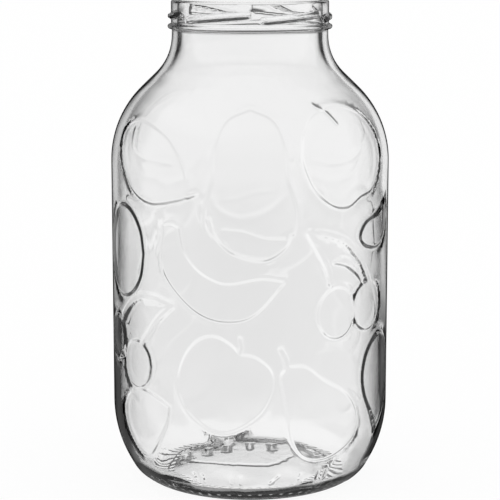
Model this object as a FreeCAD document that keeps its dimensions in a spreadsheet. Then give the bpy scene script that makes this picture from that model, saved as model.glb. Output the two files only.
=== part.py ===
import FreeCAD, Part
import math
import os
import Sketcher
from FreeCAD import Placement, Rotation, Vector

# Preserving jar of clear pressed-and-blown glass, open at the top: a wide barrel on a rounded heel, a
# steep shoulder, a short neck with a transfer bead, and a six-lug finish for a 100 mm twist-off lid.
# Each half of the mould presses the same twelve fruits in relief round the barrel and the shoulder.
# The glass is one solid. Its axis is Z, it stands on z = 0, and its front faces -Y. Sizes in mm.

SIZES = {
    # overall
    "body_radius": 85.0,
    "total_height": 296.5,
    # glass thickness
    "wall": 3.9,
    "floor_thickness": 6.0,
    "base_thickness": 6.5,
    # heel, from the bearing ring up to the barrel
    "heel_inset": 31.0,
    "heel_small_radius": 23.1,
    "heel_large_radius": 73.9,
    "inner_heel_radius": 18.0,
    # underside
    "bearing_width": 3.0,
    "pushup_height": 5.5,
    "pushup_step": 1.0,
    "knurl_count": 60,
    "knurl_width": 2.6,
    "knurl_length": 6.5,
    "knurl_clearance": 0.2,
    # shoulder and neck
    "shoulder_radius": 62.2,
    "cone_length": 12.5,
    "neck_sweep_radius": 31.5,
    "neck_radius": 47.5,
    "neck_straight": 5.2,
    # finish
    "finish_step": 0.4,
    "rim_outer_rounding": 1.3,
    "rim_inner_rounding": 1.6,
    "bead_depth": 15.8,
    "bead_projection": 2.5,
    "bead_rounding": 1.55,
    "lug_count": 6,
    "lug_depth": 11.3,
    "lug_rise": 3.7,
    "lug_arc": 52.0,
    "lug_start": -81.3,
    "lug_projection": 1.9,
    "lug_root_height": 3.4,
    "lug_crest_height": 1.8,
    # embossed fruit
    "relief_lift": 1.0,
}

# How far a cutting or joining profile runs past the face it has to clear, or into the glass it joins.
PAST_FACE = 4.0
INTO_GLASS = 1.0

# Heights that several outlines share, worked out from the sheet.
HEEL_HEIGHT = (
    "sizes.heel_small_radius + sqrt((sizes.heel_large_radius - sizes.heel_small_radius)^2"
    " - (sizes.heel_large_radius - sizes.heel_inset)^2)"
)
BEARING_RADIUS = "sizes.body_radius - sizes.heel_inset"
BEAD_HEIGHT = "sizes.total_height - sizes.bead_depth"
SWEEP_HEIGHT = "sizes.total_height - sizes.bead_depth - sizes.neck_straight"
FINISH_RADIUS = "sizes.neck_radius + sizes.finish_step"


def derived(v):
    """The sheet's numbers with the radii of the finish, which all follow the neck."""
    finish = v["neck_radius"] + v["finish_step"]
    return {
        **v,
        "finish_radius": finish,
        "bead_radius": v["neck_radius"] + v["bead_projection"],
        "lug_radius": finish + v["lug_projection"],
    }


def make_sheet(document):
    """The spreadsheet of driving dimensions: a word, its number, and the word as the alias."""
    sheet = document.addObject("Spreadsheet::Sheet", "sizes")
    for row, (name, value) in enumerate(SIZES.items(), start=1):
        sheet.set(f"A{row}", name)
        sheet.set(f"B{row}", str(value))
        sheet.setAlias(f"B{row}", name)
    document.recompute()
    return sheet


class Outline:
    """A sketch on a plane of the body, drawn as a chain of lines and arcs and bound to the sheet.

    On the XZ plane, sketch x is the distance from the jar's axis and sketch y is the height.
    """

    def __init__(self, body, name, turn=0.0, plane="XZ_Plane"):
        self.sketch = body.newObject("Sketcher::SketchObject", name)
        support = next(f for f in body.Origin.OriginFeatures if f.Role == plane)
        self.sketch.AttachmentSupport = [(support, "")]
        self.sketch.MapMode = "FlatFace"
        self.sketch.AttachmentOffset = Placement(Vector(), Rotation(Vector(0, 1, 0), turn))

    def line(self, start, end):
        """A straight edge between two (radius, height) points."""
        return self.sketch.addGeometry(Part.LineSegment(Vector(*start, 0), Vector(*end, 0)), False)

    def arc(self, centre, radius, first, last):
        """A round edge, anticlockwise between two angles in degrees."""
        circle = Part.Circle(Vector(*centre, 0), Vector(0, 0, 1), radius)
        curve = Part.ArcOfCircle(circle, math.radians(first), math.radians(last))
        return self.sketch.addGeometry(curve, False)

    def rule(self, kind, *where):
        """A geometric constraint."""
        return self.sketch.addConstraint(Sketcher.Constraint(kind, *where))

    def size(self, kind, *where, value, to):
        """A dimension that starts near its value and follows an expression of the sheet."""
        index = self.sketch.addConstraint(Sketcher.Constraint(kind, *where, value))
        self.sketch.setExpression(f"Constraints[{index}]", to)


START, END, CENTRE = 1, 2, 3
ORIGIN, CROSS_AXIS, HEIGHT_AXIS = (-1, 1), -1, -2


def shoulder_angle(v, reach):
    """How far, in degrees, the shoulder and the neck sweep turn so that their reach is covered."""
    radii = v["shoulder_radius"] + v["neck_sweep_radius"]
    low, high = 0.0, math.pi / 2
    for _ in range(60):
        middle = (low + high) / 2
        covered = radii * (1 - math.cos(middle)) + v["cone_length"] * math.sin(middle)
        if covered < reach:
            low = middle
        else:
            high = middle
    return math.degrees(low)


def heel_height(v):
    """The height at which the heel meets the straight barrel."""
    reach = v["heel_large_radius"] - v["heel_small_radius"]
    return v["heel_small_radius"] + math.sqrt(
        reach**2 - (v["heel_large_radius"] - v["heel_inset"]) ** 2
    )


def draw_side(outline, v, inset, inset_rule):
    """The side from the heel up to the neck, as a chain that lies an inset inside the outer skin.

    The chain is left open: its large heel arc at the bottom, and the line of the neck at its top. Both
    are returned.
    """
    barrel = v["body_radius"] - inset
    sweep_height = v["total_height"] - v["bead_depth"] - v["neck_straight"]
    angle = shoulder_angle(v, v["body_radius"] - v["neck_radius"])
    cosine, sine = math.cos(math.radians(angle)), math.sin(math.radians(angle))
    neck = v["neck_radius"] - inset
    sweep_radius = v["neck_sweep_radius"] + inset
    turn_radius = v["shoulder_radius"] - inset
    sweep_end = (neck + sweep_radius * (1 - cosine), sweep_height - sweep_radius * sine)
    turn_end = (
        sweep_end[0] + v["cone_length"] * sine,
        sweep_end[1] - v["cone_length"] * cosine,
    )
    turn_height = turn_end[1] - turn_radius * sine
    heel_top = heel_height(v)
    heel_radius = v["heel_large_radius"] - inset

    heel = outline.arc((v["body_radius"] - v["heel_large_radius"], heel_top), heel_radius, -30, 0)
    side = outline.line((barrel, heel_top), (barrel, turn_height))
    turn = outline.arc((barrel - turn_radius, turn_height), turn_radius, 0, angle)
    cone = outline.line(turn_end, sweep_end)
    sweep = outline.arc((neck + sweep_radius, sweep_height), sweep_radius, 180, 180 + angle)
    throat = outline.line((neck, sweep_height), (neck, sweep_height + v["neck_straight"]))

    outline.rule("Tangent", heel, END, side, START)
    outline.rule("Tangent", side, END, turn, START)
    outline.rule("Tangent", turn, END, cone, START)
    outline.rule("Tangent", cone, END, sweep, END)
    outline.rule("Tangent", sweep, START, throat, START)
    outline.rule("Vertical", side)
    outline.rule("Vertical", throat)
    outline.size("Radius", heel, value=heel_radius, to=f"sizes.heel_large_radius - {inset_rule}")
    outline.size("Radius", turn, value=turn_radius, to=f"sizes.shoulder_radius - {inset_rule}")
    outline.size("Radius", sweep, value=sweep_radius, to=f"sizes.neck_sweep_radius + {inset_rule}")
    outline.size("Distance", cone, value=v["cone_length"], to="sizes.cone_length")
    barrel_rule = f"sizes.body_radius - {inset_rule}"
    outline.size("DistanceX", *ORIGIN, side, START, value=barrel, to=barrel_rule)
    neck_rule = f"sizes.neck_radius - {inset_rule}"
    outline.size("DistanceX", *ORIGIN, throat, START, value=neck, to=neck_rule)
    outline.size("DistanceY", *ORIGIN, throat, START, value=sweep_height, to=SWEEP_HEIGHT)
    return heel, throat


def draw_outer_skin(body, v):
    """The outside of the jar as if it were solid, from its flat foot to the top of the finish."""
    outline = Outline(body, "outer_skin")
    bearing = v["body_radius"] - v["heel_inset"]
    bead_height = v["total_height"] - v["bead_depth"]
    base = outline.line((0, 0), (bearing, 0))
    foot = outline.arc((bearing, v["heel_small_radius"]), v["heel_small_radius"], -90, -30)
    heel, throat = draw_side(outline, v, 0.0, "0")
    step = outline.line((v["neck_radius"], bead_height), (v["finish_radius"], bead_height))
    finish = outline.line(
        (v["finish_radius"], bead_height), (v["finish_radius"], v["total_height"])
    )
    top = outline.line((v["finish_radius"], v["total_height"]), (0, v["total_height"]))
    axis = outline.line((0, v["total_height"]), (0, 0))

    outline.rule("Coincident", base, START, *ORIGIN)
    outline.rule("Horizontal", base)
    outline.rule("Tangent", base, END, foot, START)
    outline.rule("Tangent", foot, END, heel, START)
    for before, after in ((throat, step), (step, finish), (finish, top), (top, axis), (axis, base)):
        outline.rule("Coincident", before, END, after, START)
    outline.rule("Horizontal", step)
    outline.rule("Vertical", finish)
    outline.rule("Horizontal", top)
    outline.rule("Vertical", axis)
    outline.size("Radius", foot, value=v["heel_small_radius"], to="sizes.heel_small_radius")
    outline.size("DistanceX", *ORIGIN, base, END, value=bearing, to=BEARING_RADIUS)
    outline.size("DistanceY", *ORIGIN, step, START, value=bead_height, to=BEAD_HEIGHT)
    outline.size("DistanceX", *ORIGIN, finish, START, value=v["finish_radius"], to=FINISH_RADIUS)
    outline.size(
        "DistanceY", *ORIGIN, finish, END, value=v["total_height"], to="sizes.total_height"
    )
    return outline.sketch


def draw_cavity(body, v):
    """The inside of the jar: the domed floor, the heel, the barrel, the shoulder and the bore."""
    outline = Outline(body, "cavity")
    crown = v["pushup_height"] + v["base_thickness"]
    floor = v["floor_thickness"]
    foot_x = v["body_radius"] - v["heel_inset"]
    dome_radius = (foot_x**2 + (crown - floor) ** 2) / (2 * (crown - floor))
    half_angle = math.degrees(math.asin(foot_x / dome_radius))
    dome = outline.arc((0, crown - dome_radius), dome_radius, 90 - half_angle, 90)
    radius = v["inner_heel_radius"]
    foot = outline.arc((foot_x, floor + radius), radius, -90, -30)
    heel, throat = draw_side(outline, v, v["wall"], "sizes.wall")
    bore = v["neck_radius"] - v["wall"]
    above = v["total_height"] + PAST_FACE
    top = outline.line((bore, above), (0, above))
    axis = outline.line((0, above), (0, crown))

    outline.rule("PointOnObject", dome, CENTRE, HEIGHT_AXIS)
    outline.rule("PointOnObject", dome, END, HEIGHT_AXIS)
    outline.rule("Coincident", dome, START, foot, START)
    outline.rule("Tangent", foot, END, heel, START)
    outline.rule("Vertical", foot, START, foot, CENTRE)
    outline.rule("Coincident", throat, END, top, START)
    outline.rule("Coincident", top, END, axis, START)
    outline.rule("Coincident", axis, END, dome, END)
    outline.rule("Horizontal", top)
    outline.rule("Vertical", axis)
    outline.size("Radius", foot, value=radius, to="sizes.inner_heel_radius")
    outline.size("DistanceY", *ORIGIN, foot, START, value=floor, to="sizes.floor_thickness")
    outline.size(
        "DistanceY",
        *ORIGIN,
        dome,
        END,
        value=crown,
        to="sizes.pushup_height + sizes.base_thickness",
    )
    outline.size("DistanceY", *ORIGIN, heel, CENTRE, value=heel_height(v), to=HEEL_HEIGHT)
    outline.size(
        "DistanceY", *ORIGIN, top, START, value=above, to=f"sizes.total_height + {PAST_FACE}"
    )
    return outline.sketch


def draw_pushup(body, v):
    """The hollow under the base: a short steep step inside the bearing ring, then a shallow dome."""
    outline = Outline(body, "pushup")
    ring = v["body_radius"] - v["heel_inset"] - v["bearing_width"]
    rise = v["pushup_step"]
    crown = v["pushup_height"]
    edge = ring - rise
    dome_radius = (edge**2 + (crown - rise) ** 2) / (2 * (crown - rise))
    half_angle = math.degrees(math.asin(edge / dome_radius))
    below = outline.line((0, -PAST_FACE), (ring, -PAST_FACE))
    skirt = outline.line((ring, -PAST_FACE), (ring, 0))
    step = outline.line((ring, 0), (edge, rise))
    dome = outline.arc((0, crown - dome_radius), dome_radius, 90 - half_angle, 90)
    axis = outline.line((0, crown), (0, -PAST_FACE))

    for before, after in ((below, skirt), (skirt, step), (axis, below)):
        outline.rule("Coincident", before, END, after, START)
    outline.rule("Coincident", step, END, dome, START)
    outline.rule("Coincident", dome, END, axis, START)
    outline.rule("PointOnObject", below, START, HEIGHT_AXIS)
    outline.rule("PointOnObject", dome, CENTRE, HEIGHT_AXIS)
    outline.rule("Horizontal", below)
    outline.rule("Vertical", skirt)
    outline.rule("Vertical", axis)
    bearing_inside = f"{BEARING_RADIUS} - sizes.bearing_width"
    outline.size("DistanceX", *ORIGIN, skirt, END, value=ring, to=bearing_inside)
    outline.rule("PointOnObject", skirt, END, CROSS_AXIS)
    outline.size("DistanceY", skirt, START, *ORIGIN, value=PAST_FACE, to=f"{PAST_FACE}")
    outline.size("DistanceX", step, END, step, START, value=rise, to="sizes.pushup_step")
    outline.size("DistanceY", step, START, step, END, value=rise, to="sizes.pushup_step")
    outline.size("DistanceY", *ORIGIN, dome, END, value=crown, to="sizes.pushup_height")
    return outline.sketch


def draw_bead(body, v):
    """The transfer bead's section: a bar that comes out of the neck and ends in a half round."""
    outline = Outline(body, "bead")
    height = v["total_height"] - v["bead_depth"]
    radius = v["bead_rounding"]
    root = v["neck_radius"] - INTO_GLASS
    nose = v["bead_radius"] - radius
    lower = outline.line((root, height - radius), (nose, height - radius))
    round_end = outline.arc((nose, height), radius, -90, 90)
    upper = outline.line((nose, height + radius), (root, height + radius))
    back = outline.line((root, height + radius), (root, height - radius))

    outline.rule("Tangent", lower, END, round_end, START)
    outline.rule("Tangent", round_end, END, upper, START)
    outline.rule("Coincident", upper, END, back, START)
    outline.rule("Coincident", back, END, lower, START)
    outline.rule("Horizontal", lower)
    outline.rule("Horizontal", upper)
    outline.rule("Vertical", back)
    outline.size("Radius", round_end, value=radius, to="sizes.bead_rounding")
    outline.size(
        "DistanceX",
        *ORIGIN,
        round_end,
        CENTRE,
        value=nose,
        to="sizes.neck_radius + sizes.bead_projection - sizes.bead_rounding",
    )
    outline.size("DistanceY", *ORIGIN, round_end, CENTRE, value=height, to=BEAD_HEIGHT)
    outline.size(
        "DistanceX", *ORIGIN, back, START, value=root, to=f"sizes.neck_radius - {INTO_GLASS}"
    )
    return outline.sketch


def draw_lug(body, v):
    """A lug's section at its low end: a trapezium, thick at the finish and narrow at the crest."""
    outline = Outline(body, "lug_section", v["lug_start"])
    height = v["total_height"] - v["lug_depth"]
    root = v["finish_radius"] - INTO_GLASS
    crest = v["lug_radius"]
    low, high = v["lug_root_height"] / 2, v["lug_crest_height"] / 2
    corners = (
        (root, height - low),
        (crest, height - high),
        (crest, height + high),
        (root, height + low),
    )
    sides = [
        outline.line(corner, corners[(index + 1) % len(corners)])
        for index, corner in enumerate(corners)
    ]
    lower, face, upper, back = sides
    for index, side in enumerate(sides):
        outline.rule("Coincident", side, END, sides[(index + 1) % len(sides)], START)
    outline.rule("Vertical", face)
    outline.rule("Vertical", back)
    outline.rule("Equal", lower, upper)
    crest_radius = f"{FINISH_RADIUS} + sizes.lug_projection"
    outline.size("DistanceX", *ORIGIN, face, START, value=crest, to=crest_radius)
    root_radius = f"{FINISH_RADIUS} - {INTO_GLASS}"
    outline.size("DistanceX", *ORIGIN, back, START, value=root, to=root_radius)
    outline.size("DistanceY", back, END, back, START, value=2 * low, to="sizes.lug_root_height")
    outline.size("DistanceY", face, START, face, END, value=2 * high, to="sizes.lug_crest_height")
    middle = "sizes.total_height - sizes.lug_depth - sizes.lug_root_height / 2"
    outline.size("DistanceY", *ORIGIN, back, END, value=height - low, to=middle)
    return outline.sketch


def draw_knurl(body, v):
    """One bar of the knurling from above: it leaves the bearing ring and runs out under the heel."""
    outline = Outline(body, "knurl_outline", plane="XY_Plane")
    outline.sketch.setExpression("AttachmentOffset.Base.z", "sizes.knurl_clearance")
    inner = v["body_radius"] - v["heel_inset"]
    outer = inner + v["knurl_length"]
    half = v["knurl_width"] / 2
    right = outline.line((inner, -half), (outer, -half))
    tip = outline.line((outer, -half), (outer, half))
    left = outline.line((outer, half), (inner, half))
    root = outline.line((inner, half), (inner, -half))
    for before, after in ((right, tip), (tip, left), (left, root), (root, right)):
        outline.rule("Coincident", before, END, after, START)
    outline.rule("Horizontal", right)
    outline.rule("Horizontal", left)
    outline.rule("Vertical", root)
    outline.rule("Symmetric", tip, START, tip, END, CROSS_AXIS)
    outline.size("DistanceX", *ORIGIN, root, START, value=inner, to=BEARING_RADIUS)
    length = v["knurl_length"]
    outline.size("DistanceX", right, START, right, END, value=length, to="sizes.knurl_length")
    outline.size("DistanceY", tip, START, tip, END, value=2 * half, to="sizes.knurl_width")
    return outline.sketch


def repeat_about_axis(body, name, feature, axis, count):
    """A feature of the body repeated evenly round the jar's axis."""
    pattern = body.newObject("PartDesign::PolarPattern", name)
    pattern.Originals = [feature]
    pattern.Axis = axis
    pattern.Angle = 360.0
    pattern.setExpression("Occurrences", f"sizes.{count}")
    body.Tip = pattern
    return pattern


def turn_about_axis(body, kind, name, sketch):
    """A full revolution or groove of a sketch about the jar's axis."""
    feature = body.newObject(f"PartDesign::{kind}", name)
    feature.Profile = sketch
    feature.ReferenceAxis = (sketch, ["V_Axis"])
    feature.Angle = 360.0
    sketch.Visibility = False
    return feature


def rim_edges(shape, height, radius):
    """The names of the round edges that lie at a height and have a radius."""
    names = []
    for index, edge in enumerate(shape.Edges, start=1):
        box = edge.BoundBox
        if edge.Degenerated or abs(box.ZMin - height) > 0.01 or box.ZLength > 0.01:
            continue
        if isinstance(edge.Curve, Part.Circle) and abs(edge.Curve.Radius - radius) < 0.01:
            names.append(f"Edge{index}")
    return names


def make_glass(document, v):
    """The plain glass: skin, bead and lugs are added, cavity and push-up are cut, the rim rounded."""
    body = document.addObject("PartDesign::Body", "glass")
    turn_about_axis(body, "Revolution", "skin_solid", draw_outer_skin(body, v))
    turn_about_axis(body, "Revolution", "transfer_bead", draw_bead(body, v))
    document.recompute()

    lug = body.newObject("PartDesign::AdditiveHelix", "lug")
    lug.Profile = draw_lug(body, v)
    lug.ReferenceAxis = (lug.Profile[0], ["V_Axis"])
    lug.Mode = "pitch-height-angle"
    lug.Pitch = v["lug_rise"] * 360.0 / v["lug_arc"]
    lug.Height = v["lug_rise"]
    lug.setExpression("Pitch", "sizes.lug_rise * 360 / sizes.lug_arc")
    lug.setExpression("Height", "sizes.lug_rise")
    document.recompute()

    repeat_about_axis(body, "lugs", lug, (lug.Profile[0], ["V_Axis"]), "lug_count")
    document.recompute()

    knurl = body.newObject("PartDesign::Pad", "knurl")
    knurl.Profile = draw_knurl(body, v)
    knurl.setExpression("Length", "sizes.floor_thickness / 2")
    repeat_about_axis(body, "knurling", knurl, (knurl.Profile[0], ["N_Axis"]), "knurl_count")
    document.recompute()

    turn_about_axis(body, "Groove", "inside", draw_cavity(body, v))
    turn_about_axis(body, "Groove", "underside", draw_pushup(body, v))
    document.recompute()

    for name, radius, rounding in (
        ("rim_outside", v["finish_radius"], "rim_outer_rounding"),
        ("rim_inside", v["neck_radius"] - v["wall"], "rim_inner_rounding"),
    ):
        before = body.Tip
        fillet = body.newObject("PartDesign::Fillet", name)
        fillet.Base = (before, rim_edges(before.Shape, v["total_height"], radius))
        fillet.Radius = v[rounding]
        fillet.setExpression("Radius", f"sizes.{rounding}")
        body.Tip = fillet
        document.recompute()
    return body


# The jar on which the fruits are laid out, unrolled; they stretch with the jar.
MAP_RADIUS = 85.0
MAP_HEIGHT = 296.5
# The share of the barrel's radius at which the prisms that cut the fruits out start.
PRISM_START = 0.5


def smooth_curve(points):
    """A smooth curve through points, or a straight edge where there are only two."""
    if len(points) == 2:
        return Part.LineSegment(*points)
    curve = Part.BSplineCurve()
    curve.interpolate(points)
    return curve


class Pad:
    """A raised patch: smooth runs of points that meet in corners, from the fruit's centre."""

    def __init__(self, *runs):
        self.runs = runs

    def curves(self, place):
        """The outline's edges, with place turning map points into sketch points."""
        return [smooth_curve([place(*point) for point in run]) for run in self.runs]


class Berry:
    """A raised oval."""

    def __init__(self, x, y, half_width, half_height):
        self.centre = (x, y)
        self.side = (x + half_width, y)
        self.top = (x, y + half_height)

    def curves(self, place):
        """The outline's one edge, with place turning map points into sketch points."""
        centre, side, top = place(*self.centre), place(*self.side), place(*self.top)
        major, minor = sorted((side, top), key=centre.distanceToPoint, reverse=True)
        return [Part.Ellipse(major, minor, centre)]


class Stalk:
    """A raised ribbon of one width along a smooth line."""

    def __init__(self, width, *points):
        self.width = width
        self.points = points

    def curves(self, place):
        """The outline's edges, with place turning map points into sketch points."""
        middle = [place(*point) for point in self.points]
        steps = [after - before for before, after in zip(middle, middle[1:])]
        along = [steps[0], *(before + after for before, after in zip(steps, steps[1:])), steps[-1]]
        across = [Vector(-step.y, step.x, 0).normalize() * (self.width / 2) for step in along]
        left = [point + offset for point, offset in zip(middle, across)]
        right = [point - offset for point, offset in zip(middle, across)]
        return [
            smooth_curve(left),
            Part.LineSegment(left[-1], right[-1]),
            smooth_curve(right[::-1]),
            Part.LineSegment(right[0], left[0]),
        ]


# Each fruit's azimuth from the front in degrees, the height of its centre, and its shapes.
FRUITS = {
    "banana": (
        -12,
        140,
        Pad(
            ((-35, 29), (-37, 8), (-31, -5), (-14, -20), (3, -25), (20, -21), (38, -2)),
            ((38, -2), (24, 0), (6, -3), (-4, -1), (-14, 5), (-22, 15), (-25, 28)),
            ((-25, 28), (-30, 30), (-35, 29)),
        ),
    ),
    "apple": (
        -10,
        77,
        Pad(
            ((9, 19), (18, 17), (27, 9), (28, -2), (22, -15), (11, -24), (0, -28), (-12, -25)),
            ((-12, -25), (-24, -14), (-29, 0), (-25, 15), (-16, 26), (-6, 29), (3, 25), (9, 19)),
        ),
        Stalk(2.6, (8, 18), (11, 22), (16, 24)),
    ),
    "pear": (
        29,
        62,
        Pad(
            ((-20, 26), (-10, 25), (2, 16), (18, 6), (27, -7), (26, -22), (9, -32)),
            ((9, -32), (-8, -31), (-18, -20), (-21, -3), (-24, 12), (-25, 21), (-20, 26)),
        ),
        Stalk(3.0, (-25, 36), (-22, 30), (-21, 24)),
    ),
    "tall_pear": (
        0,
        186,
        Pad(
            ((0, 50), (14, 44), (20, 30), (21, 12), (27, -8), (23, -26), (8, -36)),
            ((8, -36), (-10, -32), (-24, -18), (-25, -4), (-21, 13), (-20, 30), (-14, 44), (0, 50)),
        ),
    ),
    "lemon": (
        -44,
        203,
        Pad(
            ((29, -16), (21, -19), (1, -22), (-17, -14), (-28, 4), (-30, 18)),
            ((-30, 18), (-17, 24), (-2, 22), (14, 15), (24, 2), (29, -16)),
        ),
        Stalk(2.6, (27, -15), (33, -14)),
    ),
    "peach": (
        42,
        205,
        Pad(
            ((-30, 16), (-31, 2), (-24, -14), (-12, -24), (0, -26), (11, -21), (24, -17)),
            ((24, -17), (32, -3), (31, 13), (20, 26), (0, 31), (-20, 27), (-30, 16)),
        ),
        Stalk(2.6, (-16, 31), (-9, 27), (-4, 21)),
    ),
    "plum": (-62, 150, Berry(0, 0, 22, 27.5)),
    "fig": (
        63,
        165,
        Pad(
            ((13, 14), (1, 7), (-14, 3), (-20, -5)),
            ((-20, -5), (-14, -11), (-2, -13), (10, -9), (16, 2), (13, 14)),
        ),
    ),
    "strawberry": (
        66,
        70,
        Pad(
            ((-3, -33), (-12, -18), (-19, -6), (-21, 7), (-16, 20), (-4, 28), (10, 25), (19, 12)),
            ((19, 12), (19, -3), (10, -19), (-3, -33)),
        ),
    ),
    "right_cherries": (
        44,
        135,
        Berry(-11, -18, 13.5, 15),
        Berry(16, -17, 14.5, 14.5),
        Stalk(3.6, (-30, 31), (-17, 29), (-3, 23), (9, 11), (18, -3)),
        Stalk(3.6, (-30, 31), (-23, 19), (-18, 10), (-15, -5)),
        Pad(
            ((-14, 12), (-4, 9), (5, 3), (11, -3)),
            ((11, -3), (4, 9), (-6, 15), (-14, 12)),
        ),
    ),
    "left_cherries": (
        -52,
        100,
        Berry(0, -17, 13, 14),
        Berry(-27, -5, 13, 14),
        Stalk(4.0, (29, 22), (15, 25), (0, 23), (-14, 12), (-20, 2)),
        Stalk(3.0, (29, 22), (18, 12), (11, 3), (5, -4)),
    ),
    "apricot": (
        -48,
        48,
        Pad(
            ((21, 13), (19, 2), (11, -11), (2, -20), (-8, -20), (-18, -7)),
            ((-18, -7), (-21, 6), (-14, 15), (-2, 20), (12, 17), (21, 13)),
        ),
    ),
}


def draw_relief_layer(body, v):
    """The section of the layer that the embossing fills, from within the glass out to the lift."""
    outline = Outline(body, "relief_section")
    low = v["heel_small_radius"] / 2
    chains = []
    for inset, rule in ((-v["relief_lift"], "(-sizes.relief_lift)"), (INTO_GLASS, f"{INTO_GLASS}")):
        heel, throat = draw_side(outline, v, inset, rule)
        outline.size("DistanceY", *ORIGIN, heel, CENTRE, value=heel_height(v), to=HEEL_HEIGHT)
        outline.size("DistanceY", *ORIGIN, heel, START, value=low, to="sizes.heel_small_radius / 2")
        bead_height = v["total_height"] - v["bead_depth"]
        outline.size("DistanceY", *ORIGIN, throat, END, value=bead_height, to=BEAD_HEIGHT)
        chains.append((heel, throat, inset))
    (outer_heel, outer_throat, lift), (inner_heel, inner_throat, depth) = chains
    top = outline.line(
        (v["neck_radius"] - lift, bead_height), (v["neck_radius"] - depth, bead_height)
    )
    drop = math.asin((heel_height(v) - low) / v["heel_large_radius"])
    foot_x = v["body_radius"] - v["heel_large_radius"] * (1 - math.cos(drop))
    bottom = outline.line((foot_x - depth, low), (foot_x - lift, low))
    outline.rule("Coincident", outer_throat, END, top, START)
    outline.rule("Coincident", top, END, inner_throat, END)
    outline.rule("Coincident", inner_heel, START, bottom, START)
    outline.rule("Coincident", bottom, END, outer_heel, START)
    return outline.sketch


def emboss(document, v, layer, name, azimuth, height, shape):
    """One raised shape: its outline's prism, seen from the front of the fruit, within the layer."""
    sketch = document.addObject("Sketcher::SketchObject", f"{name}_outline")
    turn = Rotation(Vector(0, 0, 1), azimuth) * Rotation(Vector(1, 0, 0), 90)
    sketch.Placement = Placement(Vector(), turn)
    reach = f"sizes.body_radius * {PRISM_START}"
    sketch.setExpression("Placement.Base.x", f"{reach} * sin({azimuth} deg)")
    sketch.setExpression("Placement.Base.y", f"-{reach} * cos({azimuth} deg)")
    sketch.setExpression("Placement.Base.z", f"sizes.total_height * {height} / {MAP_HEIGHT}")

    def place(along, up):
        across = v["body_radius"] * math.sin(along / MAP_RADIUS)
        return Vector(across, up * v["total_height"] / MAP_HEIGHT, 0)

    for curve in shape.curves(place):
        index = sketch.addGeometry(curve, False)
        sketch.addConstraint(Sketcher.Constraint("Block", index))

    prism = document.addObject("Part::Extrusion", f"{name}_prism")
    prism.Base = sketch
    prism.DirMode = "Normal"
    prism.Solid = True
    prism.setExpression("LengthFwd", f"sizes.body_radius * {1 - PRISM_START} + {PAST_FACE}")
    raised = document.addObject("Part::Common", name)
    raised.Base = layer
    raised.Tool = prism
    return raised


def make_relief(document, v):
    """The fruits that one half of the mould presses, and the same again for the other half."""
    layer = document.addObject("PartDesign::Body", "relief_layer")
    turn_about_axis(layer, "Revolution", "relief_ring", draw_relief_layer(layer, v))
    raised = []
    for fruit, (azimuth, height, *shapes) in FRUITS.items():
        for number, shape in enumerate(shapes, start=1):
            name = f"{fruit}_{number}"
            raised.append(emboss(document, v, layer, name, azimuth, height, shape))
    front = document.addObject("Part::MultiFuse", "front_fruits")
    front.Shapes = raised
    back = document.addObject("Part::Compound", "back_fruits")
    back.Links = [front]
    back.Placement = Placement(Vector(), Rotation(Vector(0, 0, 1), 180))
    document.recompute()
    return [front, back]


def make_jar(document, v):
    """The whole jar: the plain glass and the raised fruits, as one solid."""
    jar = document.addObject("Part::MultiFuse", "jar")
    jar.Label = "jar"
    jar.Shapes = [make_glass(document, v), *make_relief(document, v)]
    return jar


def check(document, pieces):
    """Stops if any object failed to compute or any sub-part is not one valid solid."""
    for item in document.Objects:
        if "Invalid" in item.State or "Error" in item.State:
            raise RuntimeError(f"{item.Name} did not compute: {item.State}")
    for piece in pieces:
        shape = piece.Shape
        if shape.isNull() or not shape.isValid() or len(shape.Solids) != 1:
            raise RuntimeError(f"{piece.Label} is not one valid solid")


def main():
    """Builds the document, checks it and writes one STEP file for each sub-part."""
    document = FreeCAD.newDocument("preserving_jar")
    sheet = make_sheet(document)
    values = derived({name: float(sheet.get(name)) for name in SIZES})
    pieces = [make_jar(document, values)]
    document.recompute()
    check(document, pieces)
    os.makedirs("parts", exist_ok=True)
    for piece in pieces:
        piece.Shape.exportStep(os.path.join("parts", f"{piece.Label}.step"))
        print(piece.Label, round(piece.Shape.Volume), "mm3", piece.Shape.BoundBox)


main()
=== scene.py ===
"""Clear glass preserving jar with a six-lug finish and embossed fruit, standing on a pale studio floor."""

import logging
import math
from collections.abc import Iterator
from dataclasses import dataclass, field
from enum import Enum

import bpy
import numpy as np
from mathutils import Euler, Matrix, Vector, noise


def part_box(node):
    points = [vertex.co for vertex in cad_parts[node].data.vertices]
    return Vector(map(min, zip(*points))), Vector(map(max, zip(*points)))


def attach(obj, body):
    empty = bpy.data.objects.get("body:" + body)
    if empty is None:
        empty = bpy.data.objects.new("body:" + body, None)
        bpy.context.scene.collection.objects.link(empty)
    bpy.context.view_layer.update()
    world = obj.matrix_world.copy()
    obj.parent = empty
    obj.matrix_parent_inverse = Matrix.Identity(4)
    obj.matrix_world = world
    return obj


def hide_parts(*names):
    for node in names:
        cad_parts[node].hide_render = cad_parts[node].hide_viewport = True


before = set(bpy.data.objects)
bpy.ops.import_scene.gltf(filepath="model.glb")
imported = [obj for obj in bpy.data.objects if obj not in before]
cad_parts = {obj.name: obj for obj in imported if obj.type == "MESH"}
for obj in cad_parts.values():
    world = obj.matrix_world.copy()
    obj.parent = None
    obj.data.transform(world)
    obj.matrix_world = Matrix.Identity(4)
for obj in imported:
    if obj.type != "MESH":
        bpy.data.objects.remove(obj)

LOG = logging.getLogger("preserving_jar")
MM = 0.001
TINY = 1e-6
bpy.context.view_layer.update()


# ---------------------------------------------------------------- small helpers


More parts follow.
